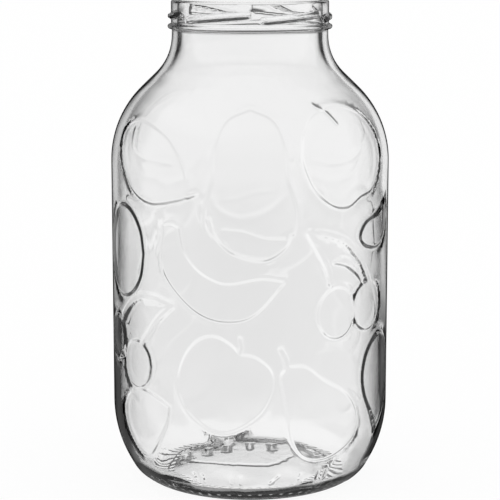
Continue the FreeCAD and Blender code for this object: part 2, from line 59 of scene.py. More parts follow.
def srgb(code: str) -> tuple[float, float, float, float]:
    """Turns an sRGB hex colour into the linear colour that a shader socket takes.

    Args:
        code: Six hex digits with a leading #.

    Returns:
        Linear red, green and blue with an alpha of 1.
    """
    channels = [int(code[i : i + 2], 16) / 255 for i in (1, 3, 5)]
    linear = [c / 12.92 if c <= 0.04045 else ((c + 0.055) / 1.055) ** 2.4 for c in channels]
    return (*linear, 1.0)


def sine(degrees: float) -> float:
    """The sine of an angle in degrees, which is also how high a direction so far above level points."""
    return math.sin(math.radians(degrees))


def smooth_step(values: np.ndarray) -> np.ndarray:
    """Eases from 0 to 1 as the values go from 0 to 1, with level ends."""
    held = np.clip(values, 0.0, 1.0)
    return held * held * (3 - 2 * held)


def deselect_all() -> None:
    """Leaves object mode with nothing selected, because operators act on all that is selected."""
    if bpy.context.object and bpy.context.object.mode != "OBJECT":
        bpy.ops.object.mode_set(mode="OBJECT")
    bpy.ops.object.select_all(action="DESELECT")


def add_node(tree: bpy.types.NodeTree, kind: str, settings: dict, links: dict) -> bpy.types.Node:
    """Adds one node with its settings and its incoming links.

    Args:
        tree: The node tree of a material or world.
        kind: The node's type name.
        settings: Properties by attribute name, and socket values by input name or index.
        links: What feeds an input, by the input's name or index: an output socket, or a node for its
            first output.

    Returns:
        The new node.
    """
    node = tree.nodes.new(kind)
    for name, value in settings.items():
        if isinstance(name, str) and hasattr(node, name):
            setattr(node, name, value)
        else:
            node.inputs[name].default_value = value
    for name, source in links.items():
        output = source.outputs[0] if isinstance(source, bpy.types.Node) else source
        tree.links.new(output, node.inputs[name])
    return node


# ---------------------------------------------------------------- embossed fruit


class Pressing(Enum):
    """What one half of the mould presses into the glass."""

    BANANA = "banana"
    APPLE = "apple"
    PEAR = "pear"
    TALL_PEAR = "tall_pear"
    LEMON = "lemon"
    PEACH = "peach"
    PLUM = "plum"
    FIG = "fig"
    STRAWBERRY = "strawberry"
    CHERRIES_RIGHT = "cherries_right"
    CHERRIES_LEFT = "cherries_left"
    APRICOT = "apricot"
    HEEL_BARS = "heel_bars"


def spline(points: np.ndarray, per_span: int = 10) -> np.ndarray:
    """Draws a smooth Catmull-Rom line through points, from the first to the last.

    Args:
        points: At least two points, one to a row.
        per_span: How many points the line gets from each point to the next.

    Returns:
        The line's points, one to a row.
    """
    padded = np.vstack([2 * points[0] - points[1], points, 2 * points[-1] - points[-2]])
    steps = np.linspace(0, 1, per_span, endpoint=False)[:, None]
    spans = []
    for p0, p1, p2, p3 in zip(padded, padded[1:], padded[2:], padded[3:]):
        spans.append(
            0.5
            * (
                2 * p1
                + (p2 - p0) * steps
                + (2 * p0 - 5 * p1 + 4 * p2 - p3) * steps**2
                + (3 * p1 - p0 - 3 * p2 + p3) * steps**3
            )
        )
    return np.vstack([*spans, points[-1:]])


def nearest_on_line(places: np.ndarray, line: np.ndarray) -> np.ndarray:
    """Finds the way from each place to the nearest point of a polyline.

    Args:
        places: Places in mm, one to a row.
        line: The polyline's points in mm.

    Returns:
        The vector from each place to its nearest point, in mm.
    """
    best = np.full((len(places), 2), np.inf)
    for start, end in zip(line, line[1:]):
        along = end - start
        length2 = max(float(along @ along), TINY**2)
        share = np.clip((places - start) @ along / length2, 0, 1)
        gap = start + share[:, None] * along - places
        closer = (gap**2).sum(axis=1) < (best**2).sum(axis=1)
        best[closer] = gap[closer]
    return best


def inside_line(places: np.ndarray, line: np.ndarray) -> np.ndarray:
    """Tells which places lie inside a closed polyline.

    Args:
        places: Places in mm, one to a row.
        line: The polyline's points, the last on the first.

    Returns:
        True for each place inside.
    """
    inside = np.zeros(len(places), dtype=bool)
    x, y = places[:, 0], places[:, 1]
    for (x0, y0), (x1, y1) in zip(line, line[1:]):
        crosses = (y0 > y) != (y1 > y)
        if y0 != y1:
            inside ^= crosses & (x < (x1 - x0) * (y - y0) / (y1 - y0) + x0)
    return inside


@dataclass(frozen=True)
class Edge:
    """How pressed glass turns up from the ground onto a motif: a shallow moat, a slope and a crown.

    Sizes are in mm. The shares say how an edge changes with the way it faces and with how far round the
    side of the jar it lies.
    """

    width: float = 1.4
    wider_round_the_side: float = 0.6
    steeper_at_the_top: float = 0.3
    crown_reach: float = 14.0
    moat_width: float = 2.4
    moat_middle: float = 0.6
    narrower_facing_aside: float = 1.1
    deeper_facing_aside: float = 0.6
    deeper_at_the_foot: float = 0.16


@dataclass(frozen=True)
class Pad:
    """A raised outline: smooth runs of points that meet in corners, in mm from the motif's centre."""

    runs: tuple
    lift: float = 0.65
    dome: float = 0.14
    moat: float = 0.12

    def line(self) -> np.ndarray:
        """The outline as one closed polyline."""
        return np.vstack([spline(np.array(run, dtype=float)) for run in self.runs])

    def height(self, places: np.ndarray, lean: np.ndarray, edge: Edge) -> np.ndarray:
        """Works out how far the pad stands proud.

        Args:
            places: Places in mm from the motif's centre.
            lean: How far round the side each place lies, from -1 at the left to 1 at the right.
            edge: The shape of the pad's edge.

        Returns:
            The height in mm at each place, below 0 in the moat.
        """
        line = self.line()
        way = nearest_on_line(places, line)
        gap = np.hypot(way[:, 0], way[:, 1])
        sign = np.where(inside_line(places, line), 1.0, -1.0)
        depth = gap * sign
        facing_side = sign * way[:, 0] / np.maximum(gap, TINY)
        facing_up = sign * way[:, 1] / np.maximum(gap, TINY)
        aside = np.maximum(facing_side * lean, 0)
        top = np.maximum(facing_up, 0)
        foot = np.maximum(-facing_up, 0)

        steepness = 1 - edge.steeper_at_the_top * top * (1 - np.abs(lean))
        slope = edge.width * (1 + edge.wider_round_the_side * lean**2) * steepness
        up = self.lift * smooth_step(depth / slope + 0.5)
        crown = self.dome * smooth_step(depth / edge.crown_reach)
        width = edge.moat_width - edge.narrower_facing_aside * aside
        from_middle = np.abs(depth + slope * 0.5 + width * edge.moat_middle)
        deepest = self.moat + edge.deeper_facing_aside * aside + edge.deeper_at_the_foot * foot
        dip = deepest * smooth_step(1 - from_middle / width)
        return up + crown - dip * (depth < 0)


@dataclass(frozen=True)
class Ridge:
    """A raised line such as a stalk, or a carved one with a lift below 0, in mm from the motif's centre."""

    points: tuple
    width: float = 3.6
    lift: float = 0.6

    def line(self) -> np.ndarray:
        """The middle of the ridge as an open polyline."""
        return spline(np.array(self.points, dtype=float))

    def height(self, places: np.ndarray, _lean: np.ndarray, edge: Edge) -> np.ndarray:
        """Works out how far the ridge stands proud, flat along its middle.

        Args:
            places: Places in mm from the motif's centre.
            _lean: Not used. Asked for as by a pad; a ridge has the same edge all round the jar.
            edge: The shape of the ridge's edges, of which it takes the width.

        Returns:
            The height in mm at each place.
        """
        way = nearest_on_line(places, self.line())
        inside = self.width / 2 - np.hypot(way[:, 0], way[:, 1])
        return self.lift * smooth_step(inside / edge.width + 0.5)


def oval(x: float, y: float, half_width: float, half_height: float, corners: int = 12) -> Pad:
    """Makes an oval pad.

    Args:
        x: Its centre to the right of the motif's, in mm.
        y: Its centre above the motif's, in mm.
        half_width: Half its width in mm.
        half_height: Half its height in mm.
        corners: How many points its outline goes through.

    Returns:
        The pad.
    """
    angles = [2 * math.pi * corner / corners for corner in range(corners + 1)]
    return Pad((tuple((x + half_width * math.cos(a), y + half_height * math.sin(a)) for a in angles),))


@dataclass(frozen=True)
class Motif:
    """One embossed motif: where its centre lies on the jar and what it is made of."""

    azimuth: float
    height: float
    parts: tuple


HEEL_BAR_HALF = 2.4
HEEL_BAR_STEPS = ((-43, 0), (-37, 0), (-18, 0), (-12, 0), (10, 2.6), (27, 0), (40, 0), (46, 0))

MOTIFS: dict[Pressing, Motif] = {
    Pressing.BANANA: Motif(azimuth=-12, height=140, parts=(
        Pad((
            ((-35, 29), (-37, 8), (-31, -5), (-14, -20), (3, -25), (20, -21), (38, -2)),
            ((38, -2), (24, 0), (6, -3), (-4, -1), (-14, 5), (-22, 15), (-25, 28)),
            ((-25, 28), (-30, 30), (-35, 29)),
        )),
        Ridge(((-35, 27), (-31, 20)), width=2.0, lift=0.3),
    )),
    Pressing.APPLE: Motif(azimuth=-10, height=77, parts=(
        Pad((
            (
                (9, 19), (18, 17), (27, 9), (28, -2), (22, -15), (11, -24), (0, -28), (-12, -25),
                (-24, -14), (-29, 0), (-25, 15), (-16, 26), (-6, 29), (3, 25), (9, 19),
            ),
        )),
        Ridge(((8, 18), (10, 23), (9, 28)), width=2.6, lift=0.5),
    )),
    Pressing.PEAR: Motif(azimuth=29, height=62, parts=(
        Pad((
            (
                (-20, 26), (-10, 25), (2, 16), (18, 6), (27, -7), (26, -22), (9, -32), (-8, -31),
                (-18, -20), (-21, -3), (-24, 12), (-25, 21), (-20, 26),
            ),
        )),
        Ridge(((-25, 36), (-22, 30), (-21, 24)), width=3.4),
        Pad((
            ((9, 3), (12, -1), (17, -10), (13, -6), (9, 3)),
        ), lift=0.5, dome=0.0),
    )),
    Pressing.TALL_PEAR: Motif(azimuth=0, height=186, parts=(
        Pad((
            (
                (0, 50), (14, 44), (20, 30), (21, 12), (27, -8), (23, -26), (8, -36), (-10, -32),
                (-24, -18), (-25, -4), (-21, 13), (-20, 30), (-14, 44), (0, 50),
            ),
        ), lift=0.3),
        Ridge(((-24, -12), (-20, -23), (-10, -32), (8, -36), (20, -30), (25, -22)), width=2.4, lift=-0.42),
        Ridge(((-15, -18), (-4, -19), (8, -23), (20, -24)), width=2.0, lift=-0.22),
    )),
    Pressing.LEMON: Motif(azimuth=-44, height=203, parts=(
        Pad((
            (
                (29, -16), (21, -19), (1, -22), (-17, -14), (-28, 4), (-30, 18), (-17, 24), (-2, 22),
                (14, 15), (24, 2), (29, -16),
            ),
        ), lift=0.5),
        Ridge(((28, -16), (33, -14)), width=2.6, lift=0.5),
        Ridge(((-18, 20), (-16, 10), (-10, 5), (2, 3), (17, 2)), width=1.8, lift=-0.12),
    )),
    Pressing.PEACH: Motif(azimuth=42, height=205, parts=(
        Pad((
            (
                (-30, 16), (-31, 2), (-24, -14), (-12, -24), (0, -26), (11, -21), (24, -17), (32, -3),
                (31, 13), (20, 26), (0, 31), (-20, 27), (-30, 16),
            ),
        ), lift=0.5),
        Ridge(((-17, 33), (-10, 29), (-4, 22)), width=2.0, lift=-0.3),
        Ridge(((-25, 3), (-13, 0), (0, 1), (10, 5), (13, 9)), width=1.8, lift=-0.12),
    )),
    Pressing.PLUM: Motif(azimuth=-62, height=150, parts=(
        oval(0, 0, 22, 27.5),
    )),
    Pressing.FIG: Motif(azimuth=63, height=165, parts=(
        Pad((
            (
                (13, 14), (1, 7), (-14, 3), (-20, -5), (-14, -11), (-2, -13), (10, -9), (16, 2),
                (13, 14),
            ),
        )),
    )),
    Pressing.STRAWBERRY: Motif(azimuth=66, height=70, parts=(
        Pad((
            ((-3, -33), (-12, -18), (-19, -6), (-21, 7), (-16, 20), (-4, 28), (10, 25), (19, 12)),
            ((19, 12), (19, -3), (10, -19), (-3, -33)),
        )),
        Ridge(((-8, 24), (-8, 12), (-2, 4)), width=2.4, lift=0.4),
    )),
    Pressing.CHERRIES_RIGHT: Motif(azimuth=44, height=135, parts=(
        Ridge(((-30, 31), (-17, 29), (-3, 23), (9, 11), (18, -3)), width=4.4),
        Ridge(((-30, 31), (-23, 19), (-18, 10), (-15, 0)), width=4.0),
        Pad((
            ((-14, 12), (-4, 9), (5, 3), (11, -3)),
            ((11, -3), (4, 9), (-6, 15), (-14, 12)),
        ), lift=0.6, dome=0.0),
        oval(-11, -18, 13.5, 15),
        oval(16, -17, 14.5, 14.5),
    )),
    Pressing.CHERRIES_LEFT: Motif(azimuth=-52, height=100, parts=(
        Ridge(((29, 22), (15, 25), (0, 23), (-14, 12), (-20, 2)), width=4.4),
        Ridge(((29, 22), (18, 12), (11, 3), (5, -4)), width=3.6),
        oval(0, -17, 13, 14),
        oval(-27, -5, 13, 14),
    )),
    Pressing.HEEL_BARS: Motif(azimuth=4, height=18, parts=tuple(
        Ridge(((x - lean, -HEEL_BAR_HALF), (x + lean, HEEL_BAR_HALF)), width=1.6, lift=0.4)
        for x, lean in HEEL_BAR_STEPS
    )),
    Pressing.APRICOT: Motif(azimuth=-48, height=48, parts=(
        Pad((
            (
                (21, 13), (19, 2), (11, -11), (2, -20), (-8, -20), (-18, -7), (-21, 6), (-14, 15),
                (-2, 20), (12, 17), (21, 13),
            ),
        )),
    )),
}


BASE_BAR_HALF = 9
BASE_BAR_PLACES = ((-40, 14), (-27, 19), (-13.5, 21), (0, 22), (13.5, 21), (27, 19), (40, 14))
BASE_RELIEF = (
    *(
        Ridge(((x, y - BASE_BAR_HALF), (x, y + BASE_BAR_HALF)), width=3.6, lift=0.7)
        for x, y in BASE_BAR_PLACES
    ),
    Ridge(((-46, 22), (-38, 2), (-22, -10), (-6, -16), (12, -14), (24, 0), (28, 20)), width=1.8, lift=0.3),
)


@dataclass(frozen=True)
class Embossing:
    """The fruit relief: the same motifs pressed by each of the two halves of the mould. Sizes in mm."""

    reference_radius: float = 85.0
    edge: Edge = Edge()
    strengths: tuple = (1.0, 0.3)
    moat_reach: float = 6.0
    search_reach: float = 9.0
    moat_fills_at: float = 0.3

    def each(self) -> Iterator[tuple[float, float, Pad | Ridge, float]]:
        """Goes through the parts of every motif on both halves.

        Returns:
            For each part the azimuth and height of its motif, the part, and the strength of its half.
        """
        for half, strength in enumerate(self.strengths):
            for motif in MOTIFS.values():
                for part in motif.parts:
                    yield motif.azimuth + 360 * half / len(self.strengths), motif.height, part, strength

    def local(
        self, azimuths: np.ndarray, heights: np.ndarray, azimuth: float, height: float
    ) -> np.ndarray:
        """Places in mm from a motif's centre, unrolled on the reference radius."""
        turn = (azimuths - azimuth + 180) % 360 - 180
        return np.column_stack([np.radians(turn) * self.reference_radius, heights - height])

    def near(self, places: np.ndarray, line: np.ndarray, reach: float) -> np.ndarray:
        """True for each place that is within reach of the box round a line."""
        low, high = line.min(axis=0) - reach, line.max(axis=0) + reach
        return np.all((places > low) & (places < high), axis=1)

    def relief(self, azimuths: np.ndarray, heights: np.ndarray) -> np.ndarray:
        """Works out how far the relief stands proud, with carved lines cut into it last.

        Args:
            azimuths: Degrees from the front.
            heights: Heights on the jar in mm.

        Returns:
            The relief in mm at each place.
        """
        proud, sunk, carved = (np.zeros(len(azimuths)) for _ in range(3))
        for azimuth, height, part, strength in self.each():
            places = self.local(azimuths, heights, azimuth, height)
            near = self.near(places, part.line(), self.moat_reach)
            lean = np.sin(np.radians((azimuths[near] + 90) % 180 - 90))
            level = part.height(places[near], lean, self.edge) * strength
            if part.lift < 0:
                carved[near] = np.minimum(carved[near], level)
                continue
            proud[near] = np.maximum(proud[near], level)
            sunk[near] = np.minimum(sunk[near], level)
        return proud + sunk * np.clip(1 - proud / self.moat_fills_at, 0, 1) + carved

    def distance(self, azimuths: np.ndarray, heights: np.ndarray, weakest: float) -> np.ndarray:
        """Works out how far each place lies from the nearest edge of relief.

        Args:
            azimuths: Degrees from the front.
            heights: Heights on the jar in mm.
            weakest: The strength that a half needs for its relief to count.

        Returns:
            The distance in mm, or infinity where no relief is within the search's reach.
        """
        result = np.full(len(azimuths), np.inf)
        for azimuth, height, part, strength in self.each():
            if strength < weakest:
                continue
            places = self.local(azimuths, heights, azimuth, height)
            line = part.line()
            near = self.near(places, line, self.search_reach)
            way = nearest_on_line(places[near], line)
            result[near] = np.minimum(result[near], np.hypot(way[:, 0], way[:, 1]))
        return result


# ---------------------------------------------------------------- the jar


@dataclass(frozen=True)
class Spacing:
    """How far apart the points of the section lie on each of its stretches, in mm."""

    pushup: float = 1.7
    step: float = 0.9
    ring: float = 0.8
    heel: float = 1.5
    side: float = 3.0
    neck: float = 2.5
    fillet: float = 0.35
    bead: float = 0.5
    finish: float = 0.6
    rim_outer: float = 0.4
    rim_inner: float = 0.45
    bore: float = 4.0
    inner_side: float = 5.5
    inner_heel: float = 1.6
    inner_floor: float = 4.0
    skin: float = 0.25


@dataclass(frozen=True)
class Knurling:
    """The notches across the bearing ring. Sizes in mm, flat and slope as shares of half a pitch."""

    count: int = 60
    depth: float = 0.8
    flat: float = 0.55
    slope: float = 0.3
    reach: float = 7.0
    fade: float = 2.5
    below: float = 1.2
    within: float = 7.5

    def raised(self, azimuth: np.ndarray, aside: np.ndarray, height: np.ndarray) -> np.ndarray:
        """Works out how far the notches lift the underside.

        Args:
            azimuth: Degrees from the front.
            aside: Distance in or out from the middle of the bearing ring, in mm.
            height: Height above the floor in mm.

        Returns:
            The lift in mm at each place.
        """
        phase = np.abs(((azimuth * self.count / 360) % 1) - 0.5) * 2
        across = smooth_step((self.reach - aside) / self.fade)
        notch = smooth_step((phase - self.flat) / self.slope) * across
        return self.depth * notch * ((height < self.below) & (aside < self.within))


@dataclass(frozen=True)
class Waviness:
    """How the blown inside wanders: a long swell all over, and more of it low down, all in mm."""

    swell_length: float = 45.0
    swell: float = 0.22
    ripple_length: float = 6.0
    ripple: float = 0.08
    lump_length: float = 20.0
    lump: float = 0.7
    low_from: float = 18.0
    low_fade: float = 40.0
    lump_radius: float = 30.0
    lump_fade: float = 15.0

    def at(self, place: Vector, radius: float, height: float) -> float:
        """Works out how far the inside wanders at one place.

        Args:
            place: The place in metres.
            radius: Its distance from the axis in mm.
            height: Its height in mm.

        Returns:
            The wander in mm.
        """
        low = 1 - float(smooth_step((height - self.low_from) / self.low_fade))
        aside = float(smooth_step((radius - self.lump_radius) / self.lump_fade))
        return (
            noise.noise(place / (self.swell_length * MM)) * self.swell
            + noise.noise(place / (self.ripple_length * MM)) * self.ripple * low
            + noise.noise(place / (self.lump_length * MM)) * self.lump * low * aside
        )


@dataclass(frozen=True)
class Zones:
    """Where on the spun skin each kind of detail is looked for, in mm."""

    # For each division, how near an edge of relief a face has to be, and how strong the edge.
    divided: tuple = ((3.7, 0.0), (1.6, 0.5))
    above_heel: float = 0.5
    foot_height: float = 1.5
    foot_reach: float = 8.0
    above_bead: float = 0.3
    finish_depth: float = 0.4
    above_pushup: float = 0.8
    inside_bearing: float = 0.2
    # Above the first height the inside wanders, and below the second it does so up and down.
    inner_height: float = 5.0
    floor_height: float = 14.0


@dataclass
class Jar:
    """The glass: a spun section with lugs, knurling and embossed fruit. Sizes in mm and degrees."""

    radius: float
    total: float
    wall: float = 3.9
    floor: float = 6.0
    base: float = 6.5
    heel_inset: float = 31.0
    heel_small: float = 23.1
    heel_large: float = 73.9
    inner_heel: float = 18.0
    bearing: float = 3.0
    pushup: float = 5.5
    pushup_step: float = 0.9
    shoulder: float = 62.2
    cone: float = 12.5
    sweep: float = 31.5
    neck: float = 47.5
    neck_straight: float = 5.2
    finish: float = 47.9
    rim_outer: float = 1.3
    rim_inner: float = 1.6
    bead_depth: float = 15.8
    bead: float = 50.0
    bead_round: float = 1.55
    fillet_below_bead: float = 0.8
    fillet_above_bead: float = 0.6
    lugs: int = 6
    lug_depth: float = 11.3
    lug_rise: float = 3.7
    lug_arc: float = 52.0
    lug_start: float = 8.7
    lug_proud: float = 1.9
    lug_half: float = 1.35
    lug_soft: float = 0.55
    lug_lead_in: float = 3.0
    lug_run_out: float = 5.0
    steps: int = 200
    base_edge: Edge = Edge(width=1.2)
    embossing: Embossing = field(default_factory=Embossing)
    spacing: Spacing = field(default_factory=Spacing)
    zones: Zones = field(default_factory=Zones)
    knurling: Knurling = field(default_factory=Knurling)
    waviness: Waviness = field(default_factory=Waviness)

    def arc(
        self, centre: tuple[float, float], radius: float, first: float, last: float, spacing: float
    ) -> np.ndarray:
        """Draws a round stretch of the section.

        Args:
            centre: The radius and height of its centre in mm.
            radius: Its radius in mm.
            first: Its first angle in degrees, anticlockwise from outwards.
            last: Its last angle in degrees.
            spacing: The spacing of its points in mm.

        Returns:
            Its points as radius and height in mm.
        """
        count = max(3, math.ceil(abs(math.radians(last - first)) * radius / spacing))
        angles = np.radians(np.linspace(first, last, count + 1))
        return np.column_stack([centre[0] + radius * np.cos(angles), centre[1] + radius * np.sin(angles)])

    def run(self, start: tuple[float, float], end: tuple[float, float], spacing: float) -> np.ndarray:
        """Points on a straight stretch of the section, no further apart than the spacing in mm."""
        count = max(1, math.ceil(math.dist(start, end) / spacing))
        return np.linspace(start, end, count + 1)

    def dome(self, edge: tuple[float, float], crown: float, spacing: float) -> np.ndarray:
        """Draws the section of a shallow dome, from the axis out to its edge.

        Args:
            edge: The radius and height of its edge in mm.
            crown: Its height on the axis in mm.
            spacing: The spacing of its points in mm.

        Returns:
            Its points as radius and height in mm.
        """
        reach, drop = edge[0], crown - edge[1]
        radius = (reach**2 + drop**2) / (2 * drop)
        half = math.degrees(math.asin(reach / radius))
        return self.arc((0, crown - radius), radius, 90, 90 - half, spacing)

    def neck_foot(self) -> float:
        """The height at which the neck sweep meets the straight neck."""
        return self.total - self.bead_depth - self.neck_straight

    def ring(self) -> float:
        """The radius of the bearing ring's outer edge."""
        return self.radius - self.heel_inset

    def heel_height(self) -> float:
        """The height at which the heel meets the straight barrel."""
        reach = self.heel_large - self.heel_small
        return self.heel_small + math.sqrt(reach**2 - (self.heel_large - self.heel_inset) ** 2)

    def heel_turn(self) -> float:
        """How far the large heel arc turns, in degrees."""
        reach = self.heel_large - self.heel_small
        return math.degrees(math.acos((self.heel_large - self.heel_inset) / reach))

    def inner_heel_turn(self) -> float:
        """How far the large heel arc turns on the inside, in degrees."""
        climb = self.heel_height() - self.floor - self.inner_heel
        return math.degrees(math.asin(climb / (self.heel_large - self.wall - self.inner_heel)))

    def shoulder_turn(self, halvings: int = 60) -> float:
        """Finds by halving how far the shoulder and the neck sweep turn.

        Args:
            halvings: How many times the range of angles is halved.

        Returns:
            The angle in degrees at which the shoulder, the cone and the sweep just reach the neck.
        """
        low, high = 0.0, math.pi / 2
        for _ in range(halvings):
            middle = (low + high) / 2
            covered = (self.shoulder + self.sweep) * (1 - math.cos(middle))
            if covered + self.cone * math.sin(middle) < self.radius - self.neck:
                low = middle
            else:
                high = middle
        return math.degrees(low)

    def side(self, wall: float, spacing: float) -> np.ndarray:
        """Draws the section from the large heel arc up to the top of the neck sweep.

        Args:
            wall: How far inside the outer skin it lies, in mm.
            spacing: The spacing of its points in mm.

        Returns:
            Its points as radius and height in mm.
        """
        turn = self.shoulder_turn()
        cos_turn, sin_turn = math.cos(math.radians(turn)), math.sin(math.radians(turn))
        sweep_centre = (self.neck + self.sweep, self.neck_foot())
        sweep_end = (
            sweep_centre[0] - (self.sweep + wall) * cos_turn,
            sweep_centre[1] - (self.sweep + wall) * sin_turn,
        )
        cone_foot = (sweep_end[0] + self.cone * sin_turn, sweep_end[1] - self.cone * cos_turn)
        shoulder_centre = (self.radius - self.shoulder, cone_foot[1] - (self.shoulder - wall) * sin_turn)
        heel_centre = (self.radius - self.heel_large, self.heel_height())
        barrel = [(self.radius - wall, height) for height in (heel_centre[1], shoulder_centre[1])]
        first = self.heel_turn() if wall == 0 else self.inner_heel_turn()
        return np.vstack(
            [
                self.arc(heel_centre, self.heel_large - wall, -first, 0, spacing),
                self.run(*barrel, spacing)[1:],
                self.arc(shoulder_centre, self.shoulder - wall, 0, turn, spacing)[1:],
                self.run(cone_foot, sweep_end, spacing)[1:],
                self.arc(sweep_centre, self.sweep + wall, 180 + turn, 180, spacing)[1:],
            ]
        )

    def outside(self) -> list[np.ndarray]:
        """Draws the outside of the section.

        Returns:
            Its stretches, from the axis underneath up to the top of the rim.
        """
        ring, gap = self.ring(), self.spacing
        step_end = (ring - self.bearing - self.pushup_step, self.pushup_step)
        bead_height = self.total - self.bead_depth
        below_bead = bead_height - self.bead_round - self.fillet_below_bead
        above_bead = bead_height + self.bead_round + self.fillet_above_bead
        rim = self.total - self.rim_outer
        fillet_below = (self.neck + self.fillet_below_bead, below_bead)
        fillet_above = (self.finish + self.fillet_above_bead, above_bead)
        return [
            self.dome(step_end, self.pushup, gap.pushup),
            self.run(step_end, (ring - self.bearing, 0), gap.step)[1:],
            self.run((ring - self.bearing, 0), (ring, 0), gap.ring)[1:],
            self.arc((ring, self.heel_small), self.heel_small, -90, -self.heel_turn(), gap.heel)[1:],
            self.side(0, gap.side)[1:],
            self.run((self.neck, self.neck_foot()), (self.neck, below_bead), gap.neck)[1:],
            self.arc(fillet_below, self.fillet_below_bead, 180, 90, gap.fillet)[1:],
            self.arc((self.bead - self.bead_round, bead_height), self.bead_round, -90, 90, gap.bead),
            self.arc(fillet_above, self.fillet_above_bead, -90, -180, gap.fillet),
            self.run((self.finish, above_bead), (self.finish, rim), gap.finish)[1:],
            self.arc((self.finish - self.rim_outer, rim), self.rim_outer, 0, 90, gap.rim_outer)[1:],
        ]

    def inside(self) -> list[np.ndarray]:
        """Draws the inside of the section.

        Returns:
            Its stretches, from the top of the rim down to the axis on the floor.
        """
        gap = self.spacing
        bore = self.neck - self.wall
        rim = self.total - self.rim_inner
        turn = self.inner_heel_turn()
        heel_reach = (self.heel_large - self.wall - self.inner_heel) * math.cos(math.radians(turn))
        foot = (self.radius - self.heel_large + heel_reach, self.floor + self.inner_heel)
        return [
            self.arc((bore + self.rim_inner, rim), self.rim_inner, 90, 180, gap.rim_inner),
            self.run((bore, rim), (bore, self.neck_foot()), gap.bore)[1:],
            self.side(self.wall, gap.inner_side)[::-1][1:],
            self.arc(foot, self.inner_heel, -turn, -90, gap.inner_heel)[1:],
            self.dome((foot[0], self.floor), self.pushup + self.base, gap.inner_floor)[::-1][1:],
        ]

    def spin(self) -> bpy.types.Object:
        """Draws the section point by point and spins it into a closed skin.

        Returns:
            The jar's object, in object mode.
        """
        points = np.vstack(self.outside() + self.inside())
        deselect_all()
        bpy.ops.mesh.primitive_plane_add(size=1, location=(0, 0, 0))
        jar = bpy.context.object
        jar.name = "jar_glass"
        bpy.ops.object.mode_set(mode="EDIT")
        bpy.ops.mesh.select_all(action="SELECT")
        bpy.ops.mesh.merge(type="CENTER")
        bpy.ops.transform.translate(value=(points[0][0] * MM, 0, points[0][1] * MM))
        for before, after in zip(points, points[1:]):
            move = (float(after[0] - before[0]) * MM, 0, float(after[1] - before[1]) * MM)
            bpy.ops.mesh.extrude_vertices_move(TRANSFORM_OT_translate={"value": move})
        bpy.ops.mesh.select_all(action="SELECT")
        bpy.ops.mesh.spin(steps=self.steps, angle=2 * math.pi, center=(0, 0, 0), axis=(0, 0, 1))
        bpy.ops.mesh.select_all(action="SELECT")
        bpy.ops.mesh.remove_doubles(threshold=TINY)
        bpy.ops.mesh.normals_make_consistent(inside=False)
        bpy.ops.object.mode_set(mode="OBJECT")
        return jar

    def skin(self) -> tuple[np.ndarray, np.ndarray, np.ndarray]:
        """Follows the outer skin between heel and neck.

        Returns:
            Heights and radii in mm, and the unit normals as radius and height.
        """
        points = self.side(0, self.spacing.skin)
        tangent = np.gradient(points, axis=0)
        normal = np.column_stack([tangent[:, 1], -tangent[:, 0]])
        normal /= np.linalg.norm(normal, axis=1)[:, None]
        return points[:, 1], points[:, 0], normal

    def places(self, coordinates: np.ndarray) -> tuple[np.ndarray, np.ndarray, np.ndarray]:
        """Turns coordinates into places on the jar.

        Args:
            coordinates: X, Y and Z in metres, one place to a row.

        Returns:
            Azimuth from the front in degrees, and radius and height in mm.
        """
        azimuth = np.degrees(np.arctan2(coordinates[:, 0], -coordinates[:, 1]))
        radius = np.hypot(coordinates[:, 0], coordinates[:, 1]) / MM
        return azimuth, radius, coordinates[:, 2] / MM

    def centres(self, jar: bpy.types.Object) -> tuple[np.ndarray, np.ndarray, np.ndarray]:
        """Finds the middle of each face.

        Args:
            jar: The jar's object.

        Returns:
            Azimuth in degrees, and radius and height in mm.
        """
        centres = np.empty(len(jar.data.polygons) * 3)
        jar.data.polygons.foreach_get("center", centres)
        return self.places(centres.reshape(-1, 3))

    def divide(self, jar: bpy.types.Object, chosen: np.ndarray) -> None:
        """Divides faces in four.

        Args:
            jar: The jar's object.
            chosen: True for each face to divide.
        """
        deselect_all()
        bpy.context.view_layer.objects.active = jar
        jar.select_set(True)
        bpy.ops.object.mode_set(mode="EDIT")
        bpy.ops.mesh.select_mode(type="FACE")
        bpy.ops.mesh.select_all(action="DESELECT")
        bpy.ops.object.mode_set(mode="OBJECT")
        jar.data.polygons.foreach_set("select", chosen)
        bpy.ops.object.mode_set(mode="EDIT")
        bpy.ops.mesh.subdivide(number_cuts=1, quadcorner="INNERVERT")
        bpy.ops.object.mode_set(mode="OBJECT")

    def refine(self, jar: bpy.types.Object) -> None:
        """Divides the faces at the edges of the relief and round the foot, so that they come out crisp.

        Args:
            jar: The jar's object.
        """
        zones = self.zones
        heights, radii, _ = self.skin()
        for reach, weakest in zones.divided:
            azimuth, radius, height = self.centres(jar)
            outer = radius > np.interp(height, heights, radii) - self.wall / 2
            band = outer & (height > heights[0] + zones.above_heel) & (height < heights[-1])
            chosen = np.zeros(len(azimuth), dtype=bool)
            chosen[band] = self.embossing.distance(azimuth[band], height[band], weakest) < reach
            self.divide(jar, chosen)
        _, radius, height = self.centres(jar)
        self.divide(jar, (height < zones.foot_height) & (np.abs(radius - self.ring()) < zones.foot_reach))

